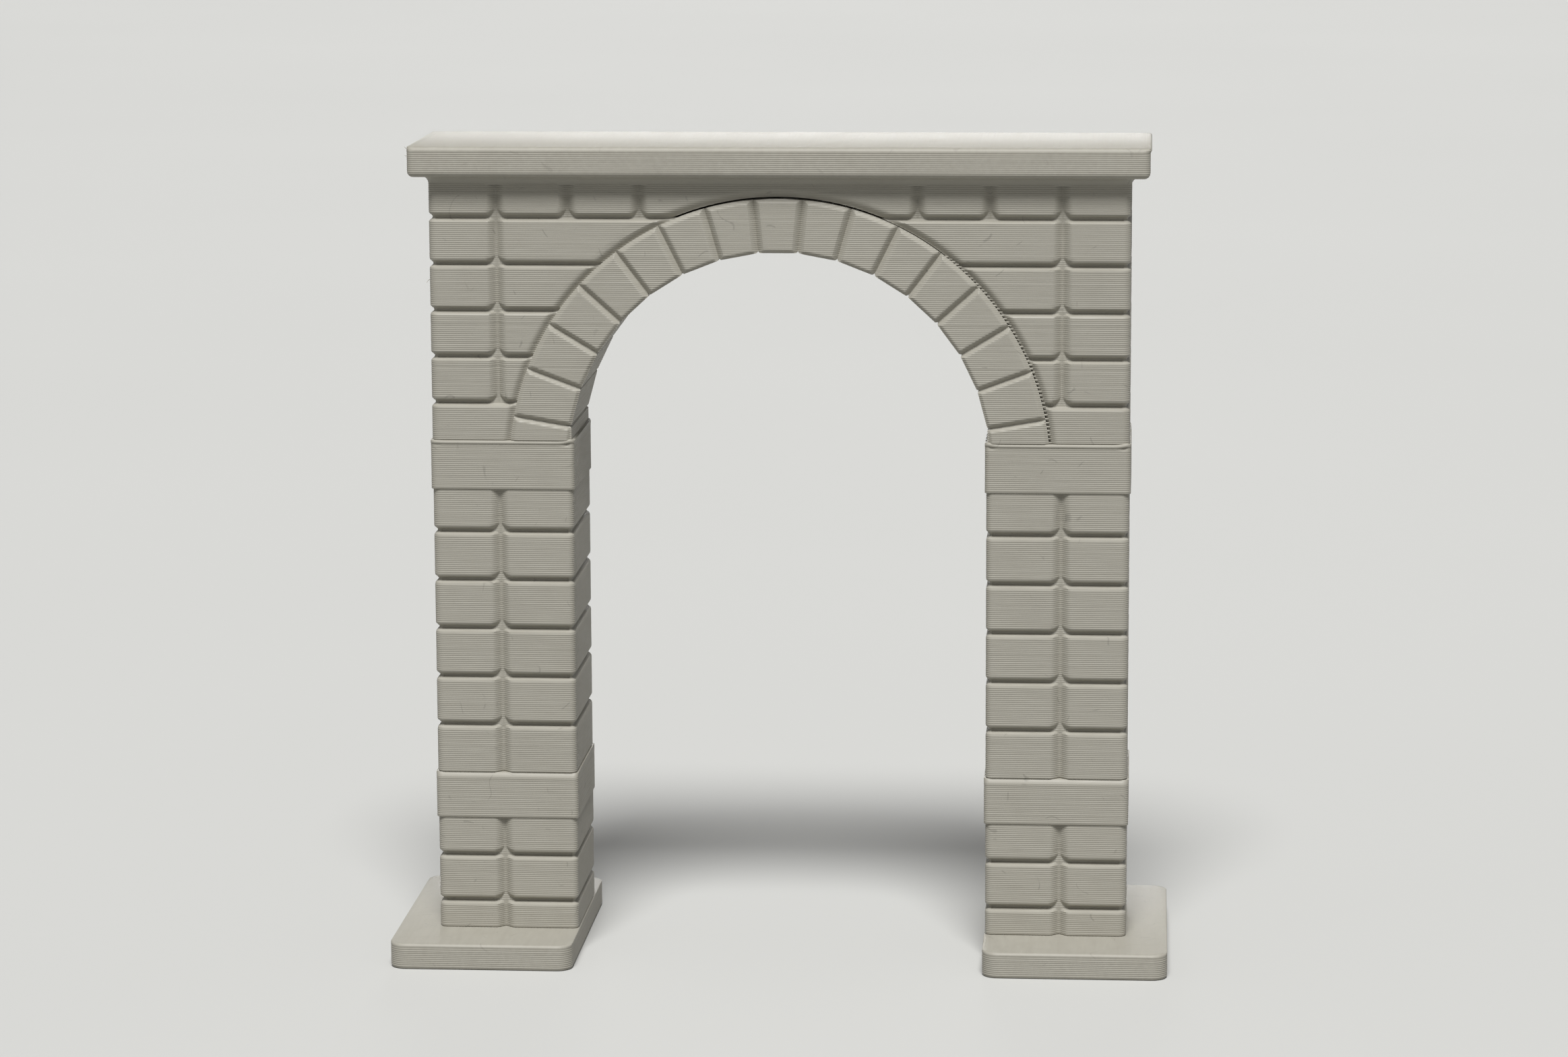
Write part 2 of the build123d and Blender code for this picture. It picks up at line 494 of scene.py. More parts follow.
def add_node(
    tree: bpy.types.NodeTree, kind: str, links: dict | Sequence = (), **settings: object
) -> bpy.types.Node:
    """Adds a node with its settings and links.

    Args:
        tree: The node tree.
        kind: Type of the node.
        links: The socket or value that feeds each input, by the input's name or number, or in order.
        settings: Properties of the node.

    Returns:
        The node.
    """
    node = tree.nodes.new(kind)
    for name, value in settings.items():
        setattr(node, name, value)
    for key, value in links.items() if isinstance(links, dict) else enumerate(links):
        if isinstance(value, Socket):
            tree.links.new(value, node.inputs[key])
        else:
            node.inputs[key].default_value = value
    return node


def bare_material(name: str) -> tuple[bpy.types.Material, bpy.types.NodeTree]:
    """Makes a material with no nodes yet.

    Args:
        name: Its name.

    Returns:
        The material and its node tree.
    """
    made = bpy.data.materials.new(name)
    made.use_nodes = True
    made.node_tree.nodes.clear()
    return made, made.node_tree


@dataclass(frozen=True)
class PrintedPlastic:
    """Grey-beige polylactide as a nozzle lays it: satin, in short streaks, with a faint grain and scuffs."""

    name: str = "printed_polylactide"
    light: str = "AAA79C"
    dark: str = "9D998E"
    roughness: Pair = (0.46, 0.62)
    streak_mm: Triple = (3.5, 3.5, 0.28)
    streak_range: Pair = (0.3, 0.7)
    smudge: str = "979388"
    smudge_share: float = 0.3
    smudge_range: Pair = (0.52, 0.78)
    blotch_mm: float = 7.0
    # The plastic's real grain is about 0.1 mm, too fine to show, so it is drawn at 0.4 mm.
    grain_mm: float = 0.4
    grain_height_mm: float = 0.03
    grain_strength: float = 0.25
    scuff: str = "838077"
    scuff_share: float = 0.55
    scuff_mm: float = 4.0
    scuff_edge: Pair = (0.006, 0.016)
    patch_range: Pair = (0.6, 0.66)
    patches_per_scuff: float = 1.6
    refraction: float = 1.46

    def scuffs(self, tree: bpy.types.NodeTree, place: Socket) -> Socket:
        """Draws short hair-thin scuffs: contour lines of one noise, kept only where another is high.

        Args:
            tree: The material's node tree.
            place: The Object coordinates.

        Returns:
            How strong the scuffs are.
        """
        links = {"Vector": place, "Scale": 1 / (self.scuff_mm * MM), "Detail": 0.0}
        bends = add_node(tree, "ShaderNodeTexNoise", links).outputs["Fac"]
        links = {"Vector": place, "Scale": self.patches_per_scuff / (self.scuff_mm * MM), "Detail": 1.0}
        patches = add_node(tree, "ShaderNodeTexNoise", links).outputs["Fac"]
        off = add_node(tree, "ShaderNodeMath", (bends, 0.5), operation="SUBTRACT").outputs[0]
        away = add_node(tree, "ShaderNodeMath", (off,), operation="ABSOLUTE").outputs[0]
        thin = add_node(tree, "ShaderNodeMapRange", (away, *self.scuff_edge, 1.0, 0.0)).outputs["Result"]
        kept = add_node(tree, "ShaderNodeMapRange", (patches, *self.patch_range, 0.0, self.scuff_share))
        both = (thin, kept.outputs["Result"])
        return add_node(tree, "ShaderNodeMath", both, operation="MULTIPLY").outputs[0]

    def material(self) -> bpy.types.Material:
        """Builds the material.

        Returns:
            The material, on Object coordinates.
        """
        made, tree = bare_material(self.name)
        place = add_node(tree, "ShaderNodeTexCoord").outputs["Object"]
        stretch = tuple(1 / (length * MM) for length in self.streak_mm)
        along = add_node(tree, "ShaderNodeMapping", {"Vector": place, "Scale": stretch}).outputs["Vector"]
        links = {"Vector": along, "Scale": 1.0, "Detail": 2.0}
        streak = add_node(tree, "ShaderNodeTexNoise", links).outputs["Fac"]
        links = {"Vector": place, "Scale": 1 / (self.blotch_mm * MM), "Detail": 4.0}
        blotch = add_node(tree, "ShaderNodeTexNoise", links).outputs["Fac"]
        links = {"Vector": place, "Scale": 1 / (self.grain_mm * MM), "Detail": 3.0}
        grain = add_node(tree, "ShaderNodeTexNoise", links).outputs["Fac"]
        smudges = add_node(tree, "ShaderNodeMapRange", (blotch, *self.smudge_range, 0.0, self.smudge_share))
        # Each further tone covers a share of the colour so far.
        colour = linear(self.dark)
        for share, tone in (
            (streak, self.light),
            (smudges.outputs["Result"], self.smudge),
            (self.scuffs(tree, place), self.scuff),
        ):
            # Mix keeps sockets of each kind: its colours are the third pair, and the third result.
            links = {"Factor": share, 6: colour, 7: linear(tone)}
            colour = add_node(tree, "ShaderNodeMix", links, data_type="RGBA").outputs[2]
        gloss = add_node(tree, "ShaderNodeMapRange", (streak, *self.streak_range, *self.roughness))
        links = {"Height": grain, "Strength": self.grain_strength, "Distance": self.grain_height_mm * MM}
        relief = add_node(tree, "ShaderNodeBump", links)
        links = {
            "Base Color": colour,
            "Roughness": gloss.outputs["Result"],
            "Normal": relief.outputs["Normal"],
            "IOR": self.refraction,
        }
        shader = add_node(tree, "ShaderNodeBsdfPrincipled", links)
        add_node(tree, "ShaderNodeOutputMaterial", {"Surface": shader.outputs["BSDF"]})
        return made


@dataclass(frozen=True)
class PalePaper:
    """Matte pale paper of the studio floor, with the faint unevenness of a paper roll.

    The camera sees it pale, and it throws little light up under the coping.
    """

    name: str = "pale_paper"
    light: str = "CACAC7"
    dark: str = "C6C6C3"
    bounce: str = "9A9A97"
    clouds_per_metre: float = 3.0
    roughness: float = 0.9

    def material(self) -> bpy.types.Material:
        """Builds the material.

        Returns:
            The material, on Object coordinates.
        """
        made, tree = bare_material(self.name)
        place = add_node(tree, "ShaderNodeTexCoord").outputs["Object"]
        links = {"Vector": place, "Scale": self.clouds_per_metre, "Detail": 2.0}
        clouds = add_node(tree, "ShaderNodeTexNoise", links).outputs["Fac"]
        links = {"Factor": clouds, 6: linear(self.dark), 7: linear(self.light)}
        tone = add_node(tree, "ShaderNodeMix", links, data_type="RGBA").outputs[2]
        rays = add_node(tree, "ShaderNodeLightPath").outputs
        seen = rays["Is Camera Ray"]
        for kind in ("Is Glossy Ray", "Is Transmission Ray"):
            seen = add_node(tree, "ShaderNodeMath", (seen, rays[kind]), operation="MAXIMUM").outputs[0]
        links = {"Factor": seen, 6: linear(self.bounce), 7: tone}
        shown = add_node(tree, "ShaderNodeMix", links, data_type="RGBA").outputs[2]
        links = {"Base Color": shown, "Roughness": self.roughness}
        shader = add_node(tree, "ShaderNodeBsdfPrincipled", links)
        add_node(tree, "ShaderNodeOutputMaterial", {"Surface": shader.outputs["BSDF"]})
        return made


@dataclass
class Dresser:
    """Gives each finished piece its material and its place in the frame."""

    material: bpy.types.Material
    slot: str = "printed_plastic"

    def dress(self, piece: bpy.types.Object, *nodes: str) -> None:
        """Finishes a piece and places it.

        Args:
            piece: The object.
            nodes: Nodes that it stands for, if any.
        """
        if not piece.data.materials:
            piece.data.materials.append(self.material)
        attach(piece, "root")
        if nodes:
            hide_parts(*nodes)
        LOG.info("%s: %d faces", piece.name, len(piece.data.polygons))


@dataclass
class Masonry:
    """What all stonework shares: the plan, the print lines and the dresser."""

    plan: ArchPlan
    lines: PrintLines
    dresser: Dresser

    def lay(self, node: str, rings: Sequence[np.ndarray], kind: str = "stones") -> None:
        """Makes the piece that stands for a node from its rings."""
        self.dresser.dress(Skin().loft(rings).build(f"{node}_{kind}"), node)

    def course_rings(
        self,
        low: float,
        high: float,
        left: Callable[[float], float],
        right: Callable[[float], float],
        radii: Pair,
        joints: Sequence[float] = (),
        end_joints: Sequence[float] = (),
        beds: Sequence[float] = (),
        ring_radius: float = 0.0,
        fade: float = 0.0,
        stands: bool = False,
        count: int = 4,
    ) -> list[np.ndarray]:
        """Rings of stones that lie in courses.

        Args:
            low: Lowest level.
            high: Highest level.
            left: X of the left end at a height.
            right: X of the right end at a height.
            radii: Radius of the left and right corner.
            joints: X of the upright joints between the ends.
            end_joints: X of the ends that are joints themselves.
            beds: Levels of the bed joints that show.
            ring_radius: Radius of the ring's back where it bounds the stones, or 0.
            fade: Height over which the joints grow shallow under a stone that stands out, or 0.
            stands: Whether the stones stand on a flat stone or plate.
            count: Even steps in each stretch between joints.

        Returns:
            The rings, lowest first.
        """
        plan = self.plan
        marks = [b + away for b in beds for away in (0.0, *BESIDE_BED, *-BESIDE_BED)]
        if stands:
            marks.append(low + UNDERCUT)
        rings = []
        for z in self.lines.levels(low, high, [z for z in marks if low < z < high]):
            path = HalfPath.around([left(z), *joints, right(z)], -plan.wall_depth / 2, radii, count)
            upright = np.full(len(path.x), FAR)
            for x in (*joints, *end_joints):
                upright = np.where(path.front, np.minimum(upright, np.abs(path.x - x)), upright)
            above = min((z - b for b in beds), key=abs, default=FAR)
            bed = np.full(len(path.x), abs(above))
            back = np.full(len(path.x), FAR)
            if ring_radius:
                back = np.where(path.front, np.hypot(path.x, z - plan.back_centre) - ring_radius, FAR)
            # A stone's lower corners are rounder than its upper ones.
            corner = LOWER_CORNER if above > 0 else UPPER_CORNER
            hollows = (upright, UPRIGHT), (bed, BED), (np.maximum(back, 0.0), BEHIND_RING)
            depth = recess(*hollows, sharp=COURSE_SHARP)
            depth = np.maximum(depth, rounded_corner(upright, bed, corner))
            # The beds are shallower on the ends of the wall than on its faces.
            depth = depth * (1.0 - SHALLOW_END * np.abs(path.nx))
            if fade:
                depth = depth * (1.0 - SHALLOW_TOP * max(0.0, 1.0 - (high - z) / fade))
            if stands:
                depth = depth + undercut(z - low)
            rings.append(path.ring(depth + self.lines.inset(z), z))
        return rings


@dataclass(frozen=True)
class Lip:
    """The edge of a stone that stands out: its last line beads, curls up at its ends and leaves holes there.

    The places of the bead, the curls and the holes are measured down from the stone's top.
    """

    rounding: float
    bead: float = 0.0
    curls: Pair = (0.0, 0.0)
    draw_in: float = 0.55
    levels: tuple[float, ...] = (0.06, 0.16, 0.3, 0.44, 0.54, 0.7)
    plain_to: float = 0.5
    bead_at: float = 0.24
    bead_half: float = 0.3
    curl_length: float = 1.2
    curl_to: float = 0.44
    curl_fade: float = 0.5
    hole_share: float = 1.6
    hole_from_end: float = 0.9
    hole_length: float = 0.5
    hole_at: float = 0.62
    hole_half: float = 0.12
    foot_in: float = 0.2
    foot_height: float = 0.26


BAND_LIP = Lip(rounding=0.8)
IMPOST_LIPS = {
    Side.LEFT: Lip(rounding=0.3, bead=0.12, curls=(0.06, 0.34)),
    Side.RIGHT: Lip(rounding=0.3, bead=0.12, curls=(0.24, 0.28)),
}


@dataclass
class Pier(Masonry):
    """One pier: foot courses, band, shaft and impost."""

    side: Side = Side.RIGHT
    foot_low: float = 3.7
    foot_courses: tuple[float, ...] = (4.0, 6.7, 5.5)
    band_height: float = 6.6
    shaft_courses: tuple[float, ...] = (7.0, 7.0, 7.0, 7.0, 7.0, 6.0)
    impost_height: float = 7.0
    proud: float = 0.2
    proud_corner: float = 0.8

    def ends(self, grow: float = 0.0) -> Pair:
        """X of the left and right face, grown by a margin."""
        inner, outer = self.plan.half_opening - grow, self.plan.half_wall + grow
        return (inner, outer) if self.side is Side.RIGHT else (-outer, -inner)

    def radii(self, share: float = 1.0) -> Pair:
        """Radius of the left and right corner, times a share."""
        inner, outer = self.plan.inner_radius * share, self.plan.outer_radius * share
        return (inner, outer) if self.side is Side.RIGHT else (outer, inner)

    def section(self, name: str, low: float, heights: Sequence[float]) -> float:
        """Builds a stretch of courses.

        Args:
            name: Name of the node without the side.
            low: Level of the lowest bed.
            heights: Heights of the courses.

        Returns:
            Level of its top.
        """
        beds = low + np.cumsum([0.0, *heights])
        left, right = self.ends()
        rings = self.course_rings(
            low,
            beds[-1],
            lambda z: left,
            lambda z: right,
            self.radii(),
            joints=(self.side.value * self.plan.quoin_joint,),
            beds=beds[1:-1],
            fade=PIER_FADE,
            stands=True,
        )
        self.lay(f"{self.side.word}_{name}", rings)
        return float(beds[-1])

    def proud_stone(self, name: str, low: float, height: float, lip: Lip) -> float:
        """Builds a band or impost.

        Args:
            name: Name of the node without the side.
            low: Level of its underside.
            height: Its height.
            lip: Its top edge.

        Returns:
            Level of its top.
        """

        def fall(distance: float, reach: float) -> float:
            """1 at no distance, falling evenly to 0 at the reach."""
            return max(0.0, 1.0 - abs(distance) / reach)

        left, right = self.ends(self.proud)
        face = -self.plan.wall_depth / 2 - self.proud
        high = low + height
        path = HalfPath.around([left, right], face, self.radii(self.proud_corner), count=8)
        front = np.abs(path.ny)
        ends = [(curl * front, np.abs(path.x - x)) for curl, x in zip(lip.curls, (left, right))]
        rise = sum(curl * np.exp(-((away / lip.curl_length) ** 2)) for curl, away in ends)
        off = [(curl, (away - lip.hole_from_end) / lip.hole_length) for curl, away in ends]
        hole = sum(lip.hole_share * curl * np.exp(-(away**2)) for curl, away in off)
        rings = []
        for z in self.lines.levels(low, high, high - np.array(lip.levels)):
            top, bottom = high - z, z - low
            edge = lip.draw_in * lip.rounding * fall(top, lip.rounding) ** 2
            edge += lip.foot_in * fall(bottom, lip.foot_height) ** 2
            edge -= lip.bead * fall(top - lip.bead_at, lip.bead_half) ** 0.5
            line = self.lines.inset(z) if top > lip.plain_to else -self.lines.proud
            under = hole * fall(top - lip.hole_at, lip.hole_half)
            lift = rise * fall(max(0.0, top - lip.curl_to), lip.curl_fade)
            rings.append(path.ring(edge * front + under + line, z + lift))
        self.lay(f"{self.side.word}_{name}", rings, "stone")
        return high

    def build(self) -> None:
        """Builds the pier from the plate up."""
        level = self.section("pier_foot", self.foot_low, self.foot_courses)
        level = self.proud_stone("band", level, self.band_height, BAND_LIP)
        level = self.section("pier_shaft", level, self.shaft_courses)
        self.proud_stone("impost", level, self.impost_height, IMPOST_LIPS[self.side])


@dataclass
class Spandrel(Masonry):
    """The wall beside the ring on one side, and its end of the top course."""

    side: Side = Side.RIGHT

    def course(
        self,
        name: str,
        low: float,
        high: float,
        inner: Callable[[float], float],
        joints: Sequence[float],
        **more: object,
    ) -> None:
        """Builds one course.

        Args:
            name: Name of the node without the side.
            low: Level of its lower bed.
            high: Level of its upper bed.
            inner: X of its inner end at a height, on the right.
            joints: X of its upright joints, on the right.
            more: Further settings of the rings.
        """
        sign, outer = self.side.value, self.plan.half_wall
        placed = sorted(sign * x for x in joints)
        near, far = 0.0, self.plan.outer_radius
        if self.side is Side.RIGHT:
            ends, radii = (inner, lambda z: outer), (near, far)
        else:
            ends, radii = (lambda z: -outer, lambda z: -inner(z)), (far, near)
        rings = self.course_rings(low, high, *ends, radii, joints=placed, **more)
        self.lay(f"{self.side.word}_{name}", rings)

    def build(self) -> None:
        """Builds the courses from the impost up."""
        plan = self.plan
        beds = plan.spandrel_beds()
        radius = plan.extrados + (plan.open_joint if self.side is Side.RIGHT else 0.0)

        def reach(z: float) -> float:
            """X of the ring's back at a height."""
            return math.sqrt(radius**2 - (z - plan.back_centre) ** 2)

        for i, (low, high) in enumerate(zip(beds[:-1], beds[1:])):
            shown = (high,) if i == 0 else (low, high)
            joints = () if i == 0 else (plan.quoin_joint,)
            more = {"beds": shown, "ring_radius": radius, "count": 14, "stands": i == 0}
            self.course(f"spandrel_course_{i + 1}", low, high, reach, joints, **more)
        joints = (plan.quoin_joint - plan.top_block, plan.quoin_joint)
        low, high = plan.top_course_low, plan.coping_low
        end = (self.side.value * plan.half_crown,)
        more = {"beds": (low,), "end_joints": end, "fade": COPING_FADE}
        self.course("top_course", low, high, lambda z: plan.half_crown, joints, **more)


@dataclass
class CrownStone(Masonry):
    """The long stone over the crown, hollowed underneath to ride over the ring."""

    def build(self) -> None:
        """Builds the stone, whose rings end on the back of the arch ring."""
        plan = self.plan
        low, high, half = plan.top_course_low, plan.coping_low, plan.half_crown
        path = HalfPath.around([-half, 0.0, half], -plan.wall_depth / 2, (0.0, 0.0), count=30)
        radius = plan.extrados + plan.crown_joint
        across = np.clip(radius**2 - path.x**2, 0.0, None)
        under = np.maximum(low, plan.back_centre + np.sqrt(across))
        rings = []
        for level in self.lines.levels(low, high):
            z = np.maximum(level, under)
            upright = np.where(path.front, half - np.abs(path.x), FAR)
            back = np.maximum(np.hypot(path.x, z - plan.back_centre) - radius, 0.0)
            depth = recess((upright, UPRIGHT), (z - low, BED), (back, BEHIND_RING))
            depth = np.maximum(depth, rounded_corner(upright, z - low, LOWER_CORNER))
            depth = depth * (1.0 - SHALLOW_TOP * np.maximum(0.0, 1.0 - (high - z) / COPING_FADE))
            rings.append(path.ring(depth + self.lines.inset(z), z))
        skin = Skin().loft(rings, Cap.STRIPS)
        self.dresser.dress(skin.build("crown_stone_skin", merge=True), "crown_stone")


@dataclass
class ArchRing(Masonry):
    """The voussoirs, keystone and springers."""

    nick: float = 0.22
    foot: float = 0.5
    count: int = 12
    # How far a stone's end rings lie inside its outline, which may come to a point there.
    tip: float = 0.02
    # How near to the soffit an end of a ring counts as lying on it.
    soffit_reach: float = 0.01
    back_points: int = 9

    def at(self, radius: float, angle: float) -> Pair:
        """X and Z of a point of the ring, at an angle in degrees from the crown."""
        turn = math.radians(angle)
        return radius * math.sin(turn), self.plan.centre + radius * math.cos(turn)

    def outline(self, first: float, last: float) -> np.ndarray:
        """Outline of a stone in X and Z, with its soffit's corners nicked.

        Args:
            first: Angle of one bed joint.
            last: Angle of the other.

        Returns:
            The corners in order.
        """
        plan = self.plan
        angles = np.linspace(first, last, self.back_points)
        back = [self.at(plan.back_reach(math.radians(a)), a) for a in angles]
        # A springer's soffit stands almost straight on the impost.
        reaches = (plan.intrados - (self.foot if abs(t) == LEVEL else 0) for t in (first, last))
        a, b = (np.array(self.at(reach, t)) for reach, t in zip(reaches, (first, last)))
        along = (b - a) / np.linalg.norm(b - a) * self.nick
        up_a, up_b = (np.array(self.at(self.nick, t)) - (0.0, plan.centre) for t in (first, last))
        return np.array([*back, b + up_b, b - along, a + along, a + up_a])

    def slice(self, outline: np.ndarray, z: float) -> Pair:
        """Cuts an outline at a height.

        Args:
            outline: The corners of a stone in X and Z.
            z: The height.

        Returns:
            X of the left and right end of the cut.
        """
        start, end = outline, np.roll(outline, -1, axis=0)
        low, high = np.minimum(start[:, 1], end[:, 1]), np.maximum(start[:, 1], end[:, 1])
        hit = (low <= z) & (z <= high) & (high > low)
        share = (z - start[hit, 1]) / (end[hit, 1] - start[hit, 1])
        x = start[hit, 0] + share * (end[hit, 0] - start[hit, 0])
        return float(x.min()), float(x.max())

    def stone(self, node: str, first: float, last: float, floor: float | None = None) -> None:
        """Builds one stone.

        Args:
            node: The node that it stands for.
            first: Angle of its bed joint nearer to the left.
            last: Angle of the other.
            floor: Level of a flat bed that cuts it, for a springer.
        """
        plan = self.plan
        outline = self.outline(first, last)
        low, high = outline[:, 1].min() + self.tip, outline[:, 1].max() - self.tip
        low = low if floor is None else floor
        middle, half = math.radians((first + last) / 2), math.radians((last - first) / 2)
        face = -plan.wall_depth / 2 - plan.ring_proud
        rings = []
        for z in self.lines.levels(low, high, () if floor is None else (floor + UNDERCUT,)):
            left, right = self.slice(outline, z)
            x = spread([left, right], self.count)
            up = z - plan.centre
            joints = []
            for angle in (math.radians(first), math.radians(last)):
                joint = RADIAL_AT_FOOT.towards(RADIAL_AT_CROWN, math.cos(angle) ** 2)
                joints.append((np.abs(x * math.cos(angle) - up * math.sin(angle)), joint))
            chord = x * math.sin(middle) + up * math.cos(middle) - plan.intrados * math.cos(half)
            back = plan.extrados - np.hypot(x, z - plan.back_centre)
            depth = recess(*joints, (np.maximum(chord, 0), SOFFIT_EDGE), (np.maximum(back, 0), RING_EDGE))
            if floor is not None:
                depth = depth + undercut(z - floor)
            inset = float(self.lines.inset(z))
            # Only the soffit shows the lines: the other ends lie against their neighbours.
            left_in, right_in = (inset if chord[end] < self.soffit_reach else 0.0 for end in (0, -1))
            if right - left > 4 * abs(inset):
                x = left + left_in + (x - left) * (right - left - left_in - right_in) / (right - left)
            rings.append(both_halves(np.stack([x, face + depth + inset, np.full(len(x), z)], axis=1)))
        self.lay(node, rings, "block")

    def build(self) -> None:
        """Builds the stones from the crown down on both sides."""
        step = self.plan.voussoir_angle
        self.stone("keystone", -step / 2, step / 2)
        for number in range(1, self.plan.voussoirs_each_side + 1):
            near, far = (number - 0.5) * step, (number + 0.5) * step
            self.stone(f"left_voussoir_{number}", -far, -near)
            self.stone(f"right_voussoir_{number}", near, far)
        near, far = (self.plan.voussoirs_each_side + 0.5) * step, LEVEL
        self.stone("left_springer", -far, -near, self.plan.springing)
        self.stone("right_springer", near, far, self.plan.springing)


@dataclass
class Slab:
    """A flat slab with rounded edges: its sides carry level lines and its top the lines of the last layer."""

    lines: PrintLines
    dresser: Dresser
    node: str
    low_corner: Vector
    high_corner: Vector
    corner_radius: float
    soffit_radius: float
    rim_radius: float
    end_lips: Pair = (0.0, 0.0)
    end_rim: float = 0.15
    lip_below_top: float = 0.28
    lip_half: float = 0.36
    plain_foot: float = 0.2
    line_width: float = 0.45
    line_depth: float = 0.02
    line_wander: float = 0.4
    seed: int = 5

    def build(self) -> None:
        """Builds the slab."""
        (x0, y0, z0), (x1, _, z1) = self.low_corner, self.high_corner
        radius = self.corner_radius
        columns = max(2, round((x1 - x0 - 2 * radius) / (self.line_width / 2)))
        stops = np.linspace(x0 + radius, x1 - radius, columns + 1)
        path = HalfPath.around([x0, x1], y0, (radius, radius), sides=(), points=stops)
        rng = np.random.default_rng(self.seed)
        furrow = np.where(np.arange(len(path.x)) % 2 == 0, 0.0, self.line_depth)
        furrow = furrow + rng.uniform(0.0, self.line_depth * self.line_wander, len(path.x))
        rings = []
        rim = self.rim_radius * np.abs(path.ny) + self.end_rim * np.abs(path.nx)
        lip = np.where(path.nx < 0, self.end_lips[0], self.end_lips[1]) * np.abs(path.nx)
        rims = z1 - self.rim_radius * np.array([0.08, 0.22, 0.45, 0.75, 1.0])
        feet = z0 + self.soffit_radius * np.array([0.08, 0.3, 0.6])
        for z in self.lines.levels(z0, z1, [*rims, *feet]):
            top, bottom = z1 - z, z - z0
            edge = 0.0
            for gap, round_off in ((top, rim), (bottom, self.soffit_radius)):
                reach = np.maximum(0.0, round_off - gap)
                edge = edge + round_off - np.sqrt(np.maximum(0.0, round_off**2 - reach**2))
            edge = edge - lip * max(0.0, 1.0 - abs(top - self.lip_below_top) / self.lip_half)
            calm = 0.0 if top < self.rim_radius or bottom < self.plain_foot else 1.0
            drop = furrow if z == z1 else 0.0
            rings.append(path.ring(path.x * 0.0 + edge + calm * self.lines.inset(z), z - drop))
        self.dresser.dress(Skin().loft(rings, Cap.STRIPS).build(f"{self.node}_slab"), self.node)


@dataclass
class CoveMoulding(Masonry):
    """The hollow moulding that runs round the top of the wall, under the coping."""

    radius: float = 1.2
    feather: float = 0.02
    first_line: float = 0.05
    line_share: float = 0.4

    def build(self) -> None:
        """Builds the moulding as an endless skin round the wall."""
        plan = self.plan
        face, corner = -plan.wall_depth / 2, plan.outer_radius
        path = HalfPath.around([-plan.half_wall, plan.half_wall], face, (corner, corner), count=6)
        bottom = plan.coping_low - self.radius
        profile = [(0.0, plan.coping_low), (0.0, bottom)]
        for z in self.lines.levels(bottom + self.first_line, plan.coping_low):
            up = z - bottom
            out = self.radius - math.sqrt(max(0.0, self.radius**2 - up**2))
            profile.append((max(self.feather, out - self.line_share * float(self.lines.inset(z))), z))
        rings = [path.ring(path.x * 0.0 - out, z) for out, z in profile]
        skin = Skin().loft(rings, cap=None, endless=True)
        self.dresser.dress(skin.build("cove_moulding_skin"), "cove_moulding")


